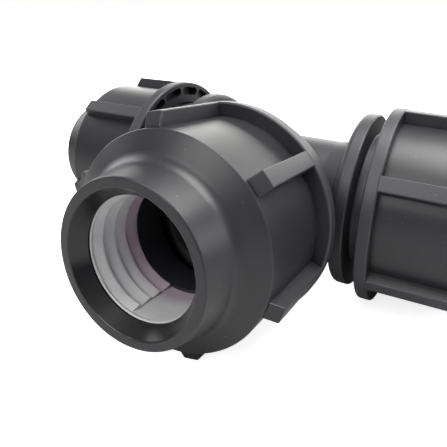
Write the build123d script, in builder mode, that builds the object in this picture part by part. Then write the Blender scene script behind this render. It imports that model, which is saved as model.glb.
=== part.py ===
from build123d import *
import os

# A compression tee for 25 mm plastic pressure pipe: a moulded body with three equal
# outlets, and on each outlet a screwed nut, a split grip ring, a push bush and an O-ring.
# Millimetres.  The three outlet axes meet at the origin, the run lies along X,
# the branch points along -Y, and +Z is up.  Every distance along an outlet is measured
# outward from the origin, and every nut is drawn at its working place and then moved
# out by the distance that it is unscrewed.

# Driving dimensions: the pipe and its way through the fitting
PIPE_RADIUS = 12.5
SOCKET_RADIUS = PIPE_RADIUS + 0.15
PASSAGE_RADIUS = 10.2
PIPE_STOP = 20.0
SEAL_SEAT = 36.6
SEAL_SEAT_RADIUS = 16.6
BODY_END = 47.0

# The body: tube, collar, plain neck and threaded end
TUBE_RADIUS = 16.0
TUBE_FLARE_RADIUS = 16.6
COLLAR_RADIUS = 25.4
COLLAR_BACK = 24.0
COLLAR_FRONT = 28.1
COLLAR_BACK_SLOPE = 1.4
NECK_RADIUS = 19.6

# The screw thread: right-handed, with a ridge on the body that runs between the nut's ridge
THREAD_PITCH = 4.0
THREAD_BURIED = 0.5
BODY_THREAD_START = 34.0
BODY_THREAD_LENGTH = 10.8
BODY_THREAD_CREST = 21.2
BODY_THREAD_FOOT_WIDTH = 2.6
BODY_THREAD_CREST_WIDTH = 0.9
NUT_THREAD_LENGTH = 12.0
NUT_THREAD_CREST = 19.9
NUT_THREAD_FOOT_WIDTH = 3.2
NUT_THREAD_CREST_WIDTH = 1.5
GATE_MARK = (1.5, 0.3)
GATE_MARK_PLACE = 20.6

# The nut: flange, ribbed barrel, shoulder and mouth
NUT_BACK = 31.9
FLANGE_RADIUS = 28.0
FLANGE_THICKNESS = 3.4
BARREL_RADIUS = 24.6
SHOULDER = 58.3
SHOULDER_RADIUS = 24.4
MOUTH_FOOT = 61.2
MOUTH_FOOT_RADIUS = 18.8
MOUTH_FOOT_FILLET = 3.5
MOUTH_END = 69.5
MOUTH_RADIUS = 17.2
MOUTH_RING_INNER_RADIUS = 15.1
BEVEL_DEPTH = 3.1
THROAT_RADIUS = 13.1
CONE_FRONT = 66.0
CONE_FRONT_RADIUS = 15.2
CONE_BACK = 52.0
CONE_BACK_RADIUS = 19.0
NUT_BORE_RADIUS = 21.5
NUT_BORE_END = 50.6
RIB_COUNT = 6
RIB_WIDTH = 4.0
RIB_START = 33.0
RIB_END = 57.2
RIB_TOP_RADIUS = FLANGE_RADIUS - 0.08
RIB_DRAFT = 0.3
RIB_END_SLOPE = 1.3
RIB_EDGE_RADIUS = 0.3
POCKETS_PER_RIB = 3
POCKET_RADIUS = 25.2
POCKET_LENGTH = 7.8
POCKET_WIDTH = 2.6
POCKET_DEPTH = 2.4

# The pieces that grip and seal the pipe
RING_BACK = 52.4
RING_CLEARANCE = 0.22
RING_LIP_RADIUS = 13.0
RING_LIP_BACK = 65.4
RING_INNER_RADIUS = 13.35
TOOTH_RADIUS = 12.55
TOOTH_EDGES = (62.8, 59.5, 56.3, 52.9)
TOOTH_STEP = 0.35
TEETH_START = 4.0
TEETH_ARC = 252.0
SPLIT_ANGLE = -25.0
SPLIT_WIDTH = 2.0
BUSH_BACK = 44.2
BUSH_STEP = 50.6
BUSH_FRONT = RING_BACK - 0.2
BUSH_INNER_RADIUS = 12.75
BUSH_NOSE_RADIUS = SEAL_SEAT_RADIUS - 0.3
BUSH_FLANGE_RADIUS = 18.3
SEAL_INNER_RADIUS = 12.55
SEAL_SECTION_RADIUS = 1.975


class Outlet:
    """One end of the tee, with the planes that its pieces are drawn on."""

    def __init__(self, name, direction, side, rib_angle, unscrewed):
        self.name = name
        self.direction = Vector(*direction)
        self.side = Vector(*side)
        self.rib_angle = rib_angle
        self.unscrewed = unscrewed
        self.axis = Axis((0, 0, 0), direction)

    def section(self, angle=0.0, moved=0.0):
        """A plane through the axis: its X is the radius and its Y the distance outward."""
        radial = self.side.rotate(self.axis, angle)
        return Plane(self.direction * moved, x_dir=radial, z_dir=radial.cross(self.direction))

    def across(self, distance):
        """A plane square to the axis, facing outward."""
        return Plane(self.direction * distance, x_dir=self.side, z_dir=self.direction)


# The left nut is a little less screwed on than the other two.
OUTLETS = [
    Outlet("right", (1, 0, 0), (0, 1, 0), 33.3, 0.0),
    Outlet("left", (-1, 0, 0), (0, -1, 0), 44.0, 5.9),
    Outlet("branch", (0, -1, 0), (1, 0, 0), 40.6, 0.0),
]


def round_corner(profile, radius, *corners):
    """Round the corners of a profile that lie nearest the given points."""
    for corner in corners:
        fillet(profile.vertices().sort_by_distance(Vector(*corner, 0))[0], radius)


def make_thread(outlet, start, length, foot, crest, foot_width, crest_width):
    """A helical ridge whose foot is buried in the wall and whose crest stands out of it."""
    centre = outlet.direction * start
    with BuildPart() as ridge:
        with BuildLine() as path:
            Helix(THREAD_PITCH, length, foot, center=centre, direction=outlet.direction)
        radial = (path.line @ 0 - centre).normalized()
        with BuildSketch(Plane(path.line @ 0, x_dir=radial, z_dir=path.line % 0)):
            with BuildLine():
                Polyline(
                    (0, -foot_width / 2),
                    (crest - foot, -crest_width / 2),
                    (crest - foot, crest_width / 2),
                    (0, foot_width / 2),
                    close=True,
                )
            make_face()
        sweep(is_frenet=True)
    return ridge


def make_arm(outlet):
    """One arm of the body, solid: a tube with its collar, neck and thread."""
    thread = make_thread(
        outlet,
        BODY_THREAD_START,
        BODY_THREAD_LENGTH,
        NECK_RADIUS - THREAD_BURIED,
        BODY_THREAD_CREST,
        BODY_THREAD_FOOT_WIDTH,
        BODY_THREAD_CREST_WIDTH,
    )
    with BuildPart() as arm:
        with BuildSketch(outlet.section()) as outside:
            with BuildLine():
                Polyline(
                    (0, 0),
                    (TUBE_RADIUS, 0),
                    (TUBE_RADIUS, PIPE_STOP - 3),
                    (TUBE_FLARE_RADIUS, COLLAR_BACK - COLLAR_BACK_SLOPE),
                    (COLLAR_RADIUS, COLLAR_BACK),
                    (COLLAR_RADIUS, COLLAR_FRONT),
                    (NECK_RADIUS, COLLAR_FRONT),
                    (NECK_RADIUS, BODY_END),
                    (0, BODY_END),
                    close=True,
                )
            make_face()
            round_corner(outside, 2.2, (TUBE_FLARE_RADIUS, COLLAR_BACK - COLLAR_BACK_SLOPE))
            round_corner(outside, 1.5, (COLLAR_RADIUS, COLLAR_BACK))
            round_corner(outside, 0.6, (COLLAR_RADIUS, COLLAR_FRONT), (NECK_RADIUS, COLLAR_FRONT))
            round_corner(outside, 0.5, (NECK_RADIUS, BODY_END))
        revolve(axis=outlet.axis)
        add(thread.part)
    return arm


def make_body():
    """The moulded tee: three arms that meet at the centre, with the waterways through them."""
    arms = [make_arm(outlet) for outlet in OUTLETS]
    with BuildPart() as body:
        for arm in arms:
            add(arm.part)
        for outlet in OUTLETS:
            with BuildSketch(outlet.section()) as waterway:
                with BuildLine():
                    Polyline(
                        (0, 0),
                        (PASSAGE_RADIUS, 0),
                        (PASSAGE_RADIUS, PIPE_STOP),
                        (SOCKET_RADIUS, PIPE_STOP),
                        (SOCKET_RADIUS, SEAL_SEAT),
                        (SEAL_SEAT_RADIUS, SEAL_SEAT),
                        (SEAL_SEAT_RADIUS, BODY_END + 1),
                        (0, BODY_END + 1),
                        close=True,
                    )
                make_face()
            revolve(axis=outlet.axis, mode=Mode.SUBTRACT)
        # The gate mark is a low nib on top of the run, near the right collar.
        with BuildSketch(Plane.XY.offset(TUBE_RADIUS - 1)):
            with Locations((GATE_MARK_PLACE, 0)):
                Circle(GATE_MARK[0])
        extrude(amount=1 + GATE_MARK[1])
    return body


def make_nut(outlet):
    """A nut: a flanged and ribbed barrel with a shoulder, a bevelled mouth and a cone inside."""
    flange_front = NUT_BACK + FLANGE_THICKNESS
    with BuildPart() as ribs:
        with BuildSketch(outlet.across(outlet.unscrewed + RIB_START)):
            with PolarLocations(0, RIB_COUNT, start_angle=outlet.rib_angle):
                with Locations(((NUT_BORE_RADIUS + FLANGE_RADIUS) / 2 + 1, 0)):
                    RectangleRounded(FLANGE_RADIUS - NUT_BORE_RADIUS, RIB_WIDTH, 0.5)
        extrude(amount=RIB_END - RIB_START)
        with BuildSketch(outlet.section(moved=outlet.unscrewed)) as envelope:
            with BuildLine():
                Polyline(
                    (NUT_BORE_RADIUS + 1.2, RIB_START),
                    (RIB_TOP_RADIUS, RIB_START),
                    (RIB_TOP_RADIUS - RIB_DRAFT, RIB_END - RIB_END_SLOPE),
                    (BARREL_RADIUS, RIB_END),
                    (NUT_BORE_RADIUS + 1.2, RIB_END),
                    close=True,
                )
            make_face()
            round_corner(envelope, RIB_EDGE_RADIUS, (RIB_TOP_RADIUS - RIB_DRAFT, RIB_END - RIB_END_SLOPE))
        revolve(axis=outlet.axis, mode=Mode.INTERSECT)
        top_edges = [
            edge
            for edge in ribs.edges()
            if (edge @ 0.5).cross(outlet.direction).length > RIB_TOP_RADIUS - 1
            and abs((edge % 0.5).dot(outlet.direction)) > 0.9
        ]
        fillet(top_edges, RIB_EDGE_RADIUS)

    # The nut's ridge lies half a pitch off the body's, at whole turns from where that starts.
    turns_out = round(outlet.unscrewed / THREAD_PITCH)
    thread = make_thread(
        outlet,
        BODY_THREAD_START + (turns_out + 0.5) * THREAD_PITCH,
        NUT_THREAD_LENGTH,
        NUT_BORE_RADIUS + THREAD_BURIED,
        NUT_THREAD_CREST,
        NUT_THREAD_FOOT_WIDTH,
        NUT_THREAD_CREST_WIDTH,
    )

    with BuildPart() as nut:
        with BuildSketch(outlet.section(moved=outlet.unscrewed)) as profile:
            with BuildLine():
                Polyline(
                    (NUT_BORE_RADIUS, NUT_BACK),
                    (FLANGE_RADIUS, NUT_BACK),
                    (FLANGE_RADIUS, flange_front),
                    (BARREL_RADIUS, flange_front),
                    (SHOULDER_RADIUS, SHOULDER),
                    (MOUTH_FOOT_RADIUS, MOUTH_FOOT),
                    (MOUTH_RADIUS, MOUTH_END),
                    (MOUTH_RING_INNER_RADIUS, MOUTH_END),
                    (THROAT_RADIUS, MOUTH_END - BEVEL_DEPTH),
                    (THROAT_RADIUS, CONE_FRONT),
                    (CONE_FRONT_RADIUS, CONE_FRONT),
                    (CONE_BACK_RADIUS, CONE_BACK),
                    (NUT_BORE_RADIUS, NUT_BORE_END),
                    close=True,
                )
            make_face()
            round_corner(profile, 0.5, (FLANGE_RADIUS, NUT_BACK), (FLANGE_RADIUS, flange_front))
            round_corner(profile, 0.35, (SHOULDER_RADIUS, SHOULDER))
            round_corner(profile, MOUTH_FOOT_FILLET, (MOUTH_FOOT_RADIUS, MOUTH_FOOT))
            round_corner(profile, 0.4, (MOUTH_RADIUS, MOUTH_END), (MOUTH_RING_INNER_RADIUS, MOUTH_END))
        revolve(axis=outlet.axis)
        add(ribs.part)
        add(thread.part)
        # Blind pockets in the back of the flange keep the moulding thin.
        with BuildSketch(outlet.across(outlet.unscrewed + NUT_BACK)):
            pocket_count = RIB_COUNT * POCKETS_PER_RIB
            first_pocket = outlet.rib_angle + 180 / pocket_count
            with PolarLocations(POCKET_RADIUS, pocket_count, start_angle=first_pocket):
                SlotOverall(POCKET_LENGTH, POCKET_WIDTH, rotation=90)
        extrude(amount=POCKET_DEPTH, mode=Mode.SUBTRACT)
    return nut


def make_split_ring(outlet):
    """The grip ring: a split cone with inward teeth, which stop short of the split."""
    outside_slope = (CONE_BACK_RADIUS - CONE_FRONT_RADIUS) / (CONE_FRONT - CONE_BACK)
    back_radius = CONE_FRONT_RADIUS + (CONE_FRONT - RING_BACK) * outside_slope
    with BuildPart() as ring:
        with BuildSketch(outlet.section(moved=outlet.unscrewed)) as profile:
            with BuildLine():
                Polyline(
                    (RING_INNER_RADIUS, RING_BACK),
                    (back_radius - RING_CLEARANCE, RING_BACK),
                    (CONE_FRONT_RADIUS - RING_CLEARANCE, CONE_FRONT - 0.1),
                    (RING_LIP_RADIUS, CONE_FRONT - 0.1),
                    (RING_LIP_RADIUS, RING_LIP_BACK),
                    (RING_INNER_RADIUS, RING_LIP_BACK - 0.6),
                    close=True,
                )
            make_face()
            round_corner(profile, 0.3, (RING_LIP_RADIUS, CONE_FRONT - 0.1))
        revolve(axis=outlet.axis)
        with BuildSketch(outlet.section(TEETH_START, outlet.unscrewed)):
            ramp_start = RING_LIP_BACK
            for edge in TOOTH_EDGES:
                with BuildLine():
                    Polyline(
                        (RING_INNER_RADIUS + 0.3, ramp_start),
                        (RING_INNER_RADIUS, ramp_start),
                        (TOOTH_RADIUS, edge + TOOTH_STEP),
                        (TOOTH_RADIUS, edge),
                        (RING_INNER_RADIUS + 0.3, edge),
                        close=True,
                    )
                make_face()
                ramp_start = edge
        revolve(axis=outlet.axis, revolution_arc=TEETH_ARC)
        with BuildSketch(outlet.section(SPLIT_ANGLE, outlet.unscrewed)):
            with Locations((CONE_FRONT_RADIUS, (RING_BACK + CONE_FRONT) / 2)):
                Rectangle(CONE_BACK_RADIUS - PASSAGE_RADIUS, 2 * (CONE_FRONT - RING_BACK))
        extrude(amount=SPLIT_WIDTH / 2, both=True, mode=Mode.SUBTRACT)
    return ring


def make_push_bush(outlet):
    """The bush between the grip ring and the seal, with a nose that enters the body."""
    with BuildPart() as bush:
        with BuildSketch(outlet.section(moved=outlet.unscrewed)) as profile:
            with BuildLine():
                Polyline(
                    (BUSH_INNER_RADIUS, BUSH_BACK),
                    (BUSH_NOSE_RADIUS, BUSH_BACK),
                    (BUSH_NOSE_RADIUS, BUSH_STEP),
                    (BUSH_FLANGE_RADIUS, BUSH_STEP),
                    (BUSH_FLANGE_RADIUS, BUSH_FRONT),
                    (BUSH_INNER_RADIUS, BUSH_FRONT),
                    close=True,
                )
            make_face()
            round_corner(profile, 0.5, (BUSH_NOSE_RADIUS, BUSH_BACK), (BUSH_INNER_RADIUS, BUSH_BACK))
            round_corner(profile, 0.3, (BUSH_FLANGE_RADIUS, BUSH_FRONT))
        revolve(axis=outlet.axis)
    return bush


def make_seal(outlet):
    """The O-ring at the bottom of the body's seal seat."""
    with BuildPart() as seal:
        with BuildSketch(outlet.section()):
            with Locations((SEAL_INNER_RADIUS + SEAL_SECTION_RADIUS, SEAL_SEAT + SEAL_SECTION_RADIUS + 0.1)):
                Circle(SEAL_SECTION_RADIUS)
        revolve(axis=outlet.axis)
    return seal


def save(piece, name):
    piece.part.label = name
    export_step(piece.part, f"parts/{name}.step")


os.makedirs("parts", exist_ok=True)
save(make_body(), "tee_body")
for end in OUTLETS:
    save(make_nut(end), f"{end.name}_nut")
    save(make_split_ring(end), f"{end.name}_split_ring")
    save(make_push_bush(end), f"{end.name}_push_bush")
    save(make_seal(end), f"{end.name}_o_ring")
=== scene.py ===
import math
import bpy
from mathutils import Matrix, Vector


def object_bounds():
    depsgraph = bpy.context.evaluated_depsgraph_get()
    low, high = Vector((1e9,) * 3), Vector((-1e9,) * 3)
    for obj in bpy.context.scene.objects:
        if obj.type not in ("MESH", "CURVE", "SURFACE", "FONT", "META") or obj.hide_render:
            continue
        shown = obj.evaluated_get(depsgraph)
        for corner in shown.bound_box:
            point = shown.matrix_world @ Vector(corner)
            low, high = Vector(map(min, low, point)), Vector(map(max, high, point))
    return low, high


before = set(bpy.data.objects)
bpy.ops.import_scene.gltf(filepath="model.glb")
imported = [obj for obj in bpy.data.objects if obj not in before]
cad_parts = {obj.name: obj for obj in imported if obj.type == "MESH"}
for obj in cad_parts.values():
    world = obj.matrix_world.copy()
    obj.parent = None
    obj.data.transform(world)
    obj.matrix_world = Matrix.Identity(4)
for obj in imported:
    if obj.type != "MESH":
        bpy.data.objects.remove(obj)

cad_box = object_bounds()

MM = 0.001

# The three ends: the way each faces, and how far its nut is unscrewed.
ENDS = (
    ("right", (1, 0, 0), 0.0),
    ("left", (-1, 0, 0), 5.9 * MM),
    ("branch", (0, -1, 0), 0.0),
)

# The camera's place in the row frame, as turn, height and tilt about its own line of sight.
CAMERA_AZIMUTH = 23.061
CAMERA_ELEVATION = 16.242
CAMERA_ROLL = 4.71
CAMERA_DISTANCE = 143.5 * MM
CAMERA_LENS = 35.92
CAMERA_SENSOR = 36.0
CAMERA_SHIFT = (-0.1325, -0.0907)

# The room's light from the horizon up to the zenith.
ROOM = (
    (0.0, (0.155, 0.146, 0.182)),
    (0.45, (0.45, 0.44, 0.46)),
    (1.0, (0.8, 0.8, 0.78)),
)
ROOM_STRENGTH = 0.8
FLOOR_BOUNCE = 0.5
FLOOR_GLOW = 0.8

# How dark and how rough the black plastics are.
BODY_BASE = 0.019
BODY_ROUGHNESS = 0.48
BUSH_BASE = 0.020
BUSH_ROUGHNESS = 0.45
NUT_BASE = 0.013
NUT_ROUGHNESS = 0.38
RIB_ROUGHNESS = 0.46
# Paler colour on the rib tops and the flange rim: painted light.
RIB_TOP_PAINTED_LIGHT = (0.012, 0.012, 0.014)
BEVEL_ROUGHNESS = 0.24
# The mouth bevel's darker colour is painted shade; its lower roughness is the real polish.
BEVEL_PAINTED_SHADE = 0.3

# Where a nut's surface changes: each pair is the start and the end of a soft step.
# Radii are from the nut's axis, and distances are outward from the centre of the tee.
BEVEL_RADIUS = (15.3 * MM, 15.0 * MM)
BEVEL_START = (66.2 * MM, 66.5 * MM)
RIB_FOOT_RADIUS = (24.7 * MM, 25.3 * MM)
RIB_TOP_RADIUS = (27.3 * MM, 27.6 * MM)

# The grip ring's tint, and its shade towards its inner end.
RING_DARK = (0.57, 0.57, 0.58)
RING_PALE = (0.64, 0.64, 0.64)
RING_SHADE = (0.72, 0.60, 0.66)
RING_SHADE_START = (58.5 * MM, 55.0 * MM)

# The lights: name, place, what it is aimed at, size in metres, watts and colour.
LIGHTS = (
    ("back", (-0.28, 0.95, 0.36), (0, 0, 0), (1.55, 0.5), 11.5, (1.0, 1.0, 0.96)),
    ("overhead", (0.15, 0.02, 0.50), (0.1, 0, 0), (0.35, 0.45), 5.0, (1.0, 1.0, 1.0)),
    ("front", (-0.10, -0.60, 0.45), (0, 0, 0), (0.4, 0.4), 2.8, (1.0, 1.0, 1.0)),
    ("left", (-0.60, 0.05, 0.22), (0, 0, 0), (0.4, 0.3), 1.3, (1.0, 1.0, 1.0)),
    ("right", (0.60, 0.25, 0.25), (0, 0, 0), (0.3, 0.3), 1.2, (0.97, 0.97, 1.0)),
)

FLOOR_SIZE = 3.0


def make_camera():
    """A camera level with the photographer's, close to the branch nut."""
    azimuth = math.radians(CAMERA_AZIMUTH)
    elevation = math.radians(CAMERA_ELEVATION)
    roll = math.radians(CAMERA_ROLL)
    back = Vector((
        math.sin(azimuth) * math.cos(elevation),
        -math.cos(azimuth) * math.cos(elevation),
        math.sin(elevation),
    ))
    level = Vector((math.cos(azimuth), math.sin(azimuth), 0))
    upright = back.cross(level)
    right = math.cos(roll) * level + math.sin(roll) * upright
    up = math.cos(roll) * upright - math.sin(roll) * level
    data = bpy.data.cameras.new("camera")
    data.sensor_width = CAMERA_SENSOR
    data.lens = CAMERA_LENS
    data.shift_x, data.shift_y = CAMERA_SHIFT
    data.clip_start = 0.005
    camera = bpy.data.objects.new("camera", data)
    place = Matrix((right, up, back)).transposed().to_4x4()
    place.translation = back * CAMERA_DISTANCE
    camera.matrix_world = place
    bpy.context.scene.collection.objects.link(camera)
    bpy.context.scene.camera = camera


class Nodes:
    """A short way to add and join shader nodes."""

    def __init__(self, material):
        material.use_nodes = True
        self.tree = material.node_tree
        self.shader = self.tree.nodes["Principled BSDF"]

    def add(self, kind, links=None, **values):
        node = self.tree.nodes.new("ShaderNode" + kind)
        for name, value in values.items():
            if hasattr(node, name):
                setattr(node, name, value)
            else:
                node.inputs[name.replace("_", " ")].default_value = value
        for name, source in (links or {}).items():
            self.tree.links.new(source, node.inputs[name])
        return node

    def ramp(self, source, *stops):
        node = self.tree.nodes.new("ShaderNodeValToRGB")
        self.tree.links.new(source, node.inputs["Fac"])
        elements = node.color_ramp.elements
        while len(elements) < len(stops):
            elements.new(0.5)
        for element, (position, colour) in zip(elements, stops):
            element.position = position
            element.color = (*colour, 1.0)
        return node.outputs["Color"]

    def mix(self, blend, factor, first, second):
        """Two colours or values mixed; each input is a socket or a constant."""
        node = self.tree.nodes.new("ShaderNodeMixRGB")
        node.blend_type = blend
        for socket, value in zip(node.inputs, (factor, first, second)):
            if isinstance(value, bpy.types.NodeSocket):
                self.tree.links.new(value, socket)
            elif isinstance(value, tuple):
                socket.default_value = (*value, 1.0)
            else:
                socket.default_value = value
        return node.outputs["Color"]

    def along(self, place, direction):
        """The distance out from the origin along a direction."""
        node = self.add("VectorMath", operation="DOT_PRODUCT")
        self.tree.links.new(place, node.inputs[0])
        node.inputs[1].default_value = direction
        return node.outputs["Value"]

    def away(self, place, direction):
        """The distance from the line through the origin along a direction."""
        node = self.add("VectorMath", operation="CROSS_PRODUCT")
        self.tree.links.new(place, node.inputs[0])
        node.inputs[1].default_value = direction
        length = self.add("VectorMath", {"Vector": node.outputs["Vector"]}, operation="LENGTH")
        return length.outputs["Value"]

    def ranged(self, source, step, moved=0.0):
        """0 where the source is at the step's start and 1 at its end, with both moved outward."""
        start, end = (moved + edge for edge in step)
        node = self.add("MapRange", {"Value": source}, From_Min=start, From_Max=end)
        return node.outputs["Result"]

    def link(self, source, socket):
        self.tree.links.new(source, self.shader.inputs[socket])


def grey(value):
    """A colour with no tint."""
    return (value, value, value)


def black_plastic(name, base, roughness):
    """Satin moulded polypropylene: near black, a fine grain, faint flow marks and a little dust."""
    material = bpy.data.materials.new(name)
    n = Nodes(material)
    place = n.add("TexCoord").outputs["Object"]
    flow = n.add("TexNoise", {"Vector": place}, Scale=90.0, Detail=4.0, Roughness=0.6).outputs["Fac"]
    dust = n.add("TexNoise", {"Vector": place}, Scale=1500.0, Detail=2.0, Roughness=0.5).outputs["Fac"]
    tint = n.ramp(
        flow,
        (0.3, (base * 0.92, base * 0.86, base * 1.04)),
        (0.7, (base * 1.06, base * 1.1, base * 1.24)),
    )
    specks = n.ramp(dust, (0.735, grey(0.0)), (0.79, grey(0.11)))
    n.link(n.mix("ADD", 1.0, tint, specks), "Base Color")
    n.shader.inputs["IOR"].default_value = 1.49
    wear = n.add("MapRange", {"Value": flow}, To_Min=roughness - 0.05, To_Max=roughness + 0.06)
    n.link(wear.outputs["Result"], "Roughness")
    grain = n.add("TexNoise", {"Vector": place}, Scale=2200.0, Detail=3.0, Roughness=0.6)
    bump = n.add("Bump", {"Height": grain.outputs["Fac"]}, Strength=0.12, Distance=0.00008)
    n.link(bump.outputs["Normal"], "Normal")
    return material


def nut_plastic(end, direction, unscrewed):
    """The nuts' plastic: as the body's, with grained ribs and flange, painted light that makes the rib
    tops and the flange rim paler, and a polished mouth bevel whose colour is darkened as painted
    shade.
    """
    material = black_plastic(f"nut_black_{end}", NUT_BASE, NUT_ROUGHNESS)
    n = Nodes(material)
    place = n.add("TexCoord").outputs["Object"]
    along = n.along(place, direction)
    radius = n.away(place, direction)
    inside = n.ranged(radius, BEVEL_RADIUS)
    near_end = n.ranged(along, BEVEL_START, unscrewed)
    bevel = n.mix("MULTIPLY", 1.0, inside, near_end)
    ribs = n.ranged(radius, RIB_FOOT_RADIUS)
    rib_top_painted_light_mask = n.ranged(radius, RIB_TOP_RADIUS)
    colour = n.shader.inputs["Base Color"].links[0].from_socket
    # Painted light: the rib tops and the flange rim are made paler.
    colour = n.mix("ADD", rib_top_painted_light_mask, colour, RIB_TOP_PAINTED_LIGHT)
    # Painted shade: the mouth bevel's colour is darkened; the roughness below is the real polish.
    n.link(n.mix("MULTIPLY", bevel, colour, grey(BEVEL_PAINTED_SHADE)), "Base Color")
    rough = n.shader.inputs["Roughness"].links[0].from_socket
    rough = n.mix("MIX", ribs, rough, grey(RIB_ROUGHNESS))
    n.link(n.mix("MIX", bevel, rough, grey(BEVEL_ROUGHNESS)), "Roughness")
    coarse = n.add("TexNoise", {"Vector": place}, Scale=1300.0, Detail=2.0, Roughness=0.5)
    grain = n.mix("MULTIPLY", 1.0, coarse.outputs["Fac"], ribs)
    fine = n.shader.inputs["Normal"].links[0].from_socket
    bump = n.add("Bump", {"Height": grain, "Normal": fine}, Strength=0.35, Distance=0.00008)
    n.link(bump.outputs["Normal"], "Normal")
    return material


def ring_plastic(end, direction, unscrewed):
    """Off-white acetal that lets a little light through, darker and redder at its inner end."""
    material = bpy.data.materials.new(f"ring_white_{end}")
    n = Nodes(material)
    place = n.add("TexCoord").outputs["Object"]
    cloud = n.add("TexNoise", {"Vector": place}, Scale=120.0, Detail=3.0)
    tint = n.ramp(cloud.outputs["Fac"], (0.35, RING_DARK), (0.65, RING_PALE))
    depth = n.ranged(n.along(place, direction), RING_SHADE_START, unscrewed)
    n.link(n.mix("MULTIPLY", depth, tint, RING_SHADE), "Base Color")
    n.shader.inputs["Roughness"].default_value = 0.38
    n.shader.inputs["Subsurface Weight"].default_value = 0.25
    n.shader.inputs["Subsurface Radius"].default_value = (0.003, 0.003, 0.003)
    grain = n.add("TexNoise", {"Vector": place}, Scale=900.0, Detail=2.0)
    bump = n.add("Bump", {"Height": grain.outputs["Fac"]}, Strength=0.06, Distance=0.00008)
    n.link(bump.outputs["Normal"], "Normal")
    return material


def seal_rubber():
    """Dull black rubber."""
    material = bpy.data.materials.new("seal_black")
    n = Nodes(material)
    place = n.add("TexCoord").outputs["Object"]
    bloom = n.add("TexNoise", {"Vector": place}, Scale=400.0, Detail=3.0)
    tint = n.ramp(bloom.outputs["Fac"], (0.3, grey(0.012)), (0.7, grey(0.022)))
    n.link(tint, "Base Color")
    n.shader.inputs["Roughness"].default_value = 0.6
    bump = n.add("Bump", {"Height": bloom.outputs["Fac"]}, Strength=0.1, Distance=0.00005)
    n.link(bump.outputs["Normal"], "Normal")
    return material


def dress(node, material):
    """Give a CAD node its material."""
    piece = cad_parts[node]
    piece.data.materials.clear()
    piece.data.materials.append(material)


def floor_card():
    """White card, lit from behind as well, so that the shadow on it is faint."""
    material = bpy.data.materials.new("floor")
    n = Nodes(material)
    place = n.add("TexCoord").outputs["Object"]
    fibre = n.add("TexNoise", {"Vector": place}, Scale=300.0, Detail=3.0)
    seen = n.add("LightPath").outputs["Is Camera Ray"]
    tint = n.ramp(fibre.outputs["Fac"], (0.3, grey(0.90)), (0.7, grey(0.93)))
    n.link(n.mix("MIX", seen, grey(FLOOR_BOUNCE), tint), "Base Color")
    n.shader.inputs["Roughness"].default_value = 0.9
    n.shader.inputs["Specular IOR Level"].default_value = 0.1
    n.shader.inputs["Emission Color"].default_value = (1.0, 1.0, 1.0, 1.0)
    glow = n.add("Math", operation="MULTIPLY")
    n.tree.links.new(seen, glow.inputs[0])
    glow.inputs[1].default_value = FLOOR_GLOW
    n.link(glow.outputs["Value"], "Emission Strength")
    return material


def make_floor():
    """A plain pale floor under the flanges."""
    low = cad_box[0][2]
    size = FLOOR_SIZE
    mesh = bpy.data.meshes.new("floor")
    corners = [(-size, -size, low), (size, -size, low), (size, size, low), (-size, size, low)]
    mesh.from_pydata(corners, [], [(0, 1, 2, 3)])
    mesh.materials.append(floor_card())
    floor = bpy.data.objects.new("floor", mesh)
    bpy.context.scene.collection.objects.link(floor)


def area_light(name, place, aim, size, power, colour):
    """A soft rectangular light."""
    data = bpy.data.lights.new(name, "AREA")
    data.shape = "RECTANGLE"
    data.size, data.size_y = size
    data.energy = power
    data.color = colour
    light = bpy.data.objects.new(name, data)
    light.location = place
    light.rotation_euler = (Vector(aim) - Vector(place)).to_track_quat("-Z", "Y").to_euler()
    bpy.context.scene.collection.objects.link(light)


def make_world():
    """A white backdrop, and around the object a room that is bright above and dim at the sides."""
    world = bpy.data.worlds.new("studio")
    world.use_nodes = True
    tree = world.node_tree
    backdrop = tree.nodes["Background"]
    backdrop.inputs["Color"].default_value = (1.0, 1.0, 1.0, 1.0)
    backdrop.inputs["Strength"].default_value = 1.0
    direction = tree.nodes.new("ShaderNodeTexCoord").outputs["Generated"]
    height = tree.nodes.new("ShaderNodeSeparateXYZ")
    tree.links.new(direction, height.inputs["Vector"])
    ramp = tree.nodes.new("ShaderNodeValToRGB")
    tree.links.new(height.outputs["Z"], ramp.inputs["Fac"])
    elements = ramp.color_ramp.elements
    elements.new(0.5)
    for element, (position, colour) in zip(elements, ROOM):
        element.position = position
        element.color = (*colour, 1.0)
    room = tree.nodes.new("ShaderNodeBackground")
    room.inputs["Strength"].default_value = ROOM_STRENGTH
    tree.links.new(ramp.outputs["Color"], room.inputs["Color"])
    seen = tree.nodes.new("ShaderNodeLightPath").outputs["Is Camera Ray"]
    choice = tree.nodes.new("ShaderNodeMixShader")
    tree.links.new(seen, choice.inputs[0])
    tree.links.new(room.outputs["Background"], choice.inputs[1])
    tree.links.new(backdrop.outputs["Background"], choice.inputs[2])
    tree.links.new(choice.outputs["Shader"], tree.nodes["World Output"].inputs["Surface"])
    bpy.context.scene.world = world


def make_lights():
    """A broad soft light behind, one above the right nut, and weaker ones all round."""
    for light in LIGHTS:
        area_light(*light)


make_camera()
make_world()
make_lights()
make_floor()
bpy.context.scene.view_settings.view_transform = "Standard"

body_black = black_plastic("body_black", BODY_BASE, BODY_ROUGHNESS)
bush_black = black_plastic("bush_black", BUSH_BASE, BUSH_ROUGHNESS)
seal_black = seal_rubber()

dress("tee_body", body_black)
for end, direction, unscrewed in ENDS:
    dress(f"{end}_nut", nut_plastic(end, direction, unscrewed))
    dress(f"{end}_split_ring", ring_plastic(end, direction, unscrewed))
    dress(f"{end}_push_bush", bush_black)
    dress(f"{end}_o_ring", seal_black)
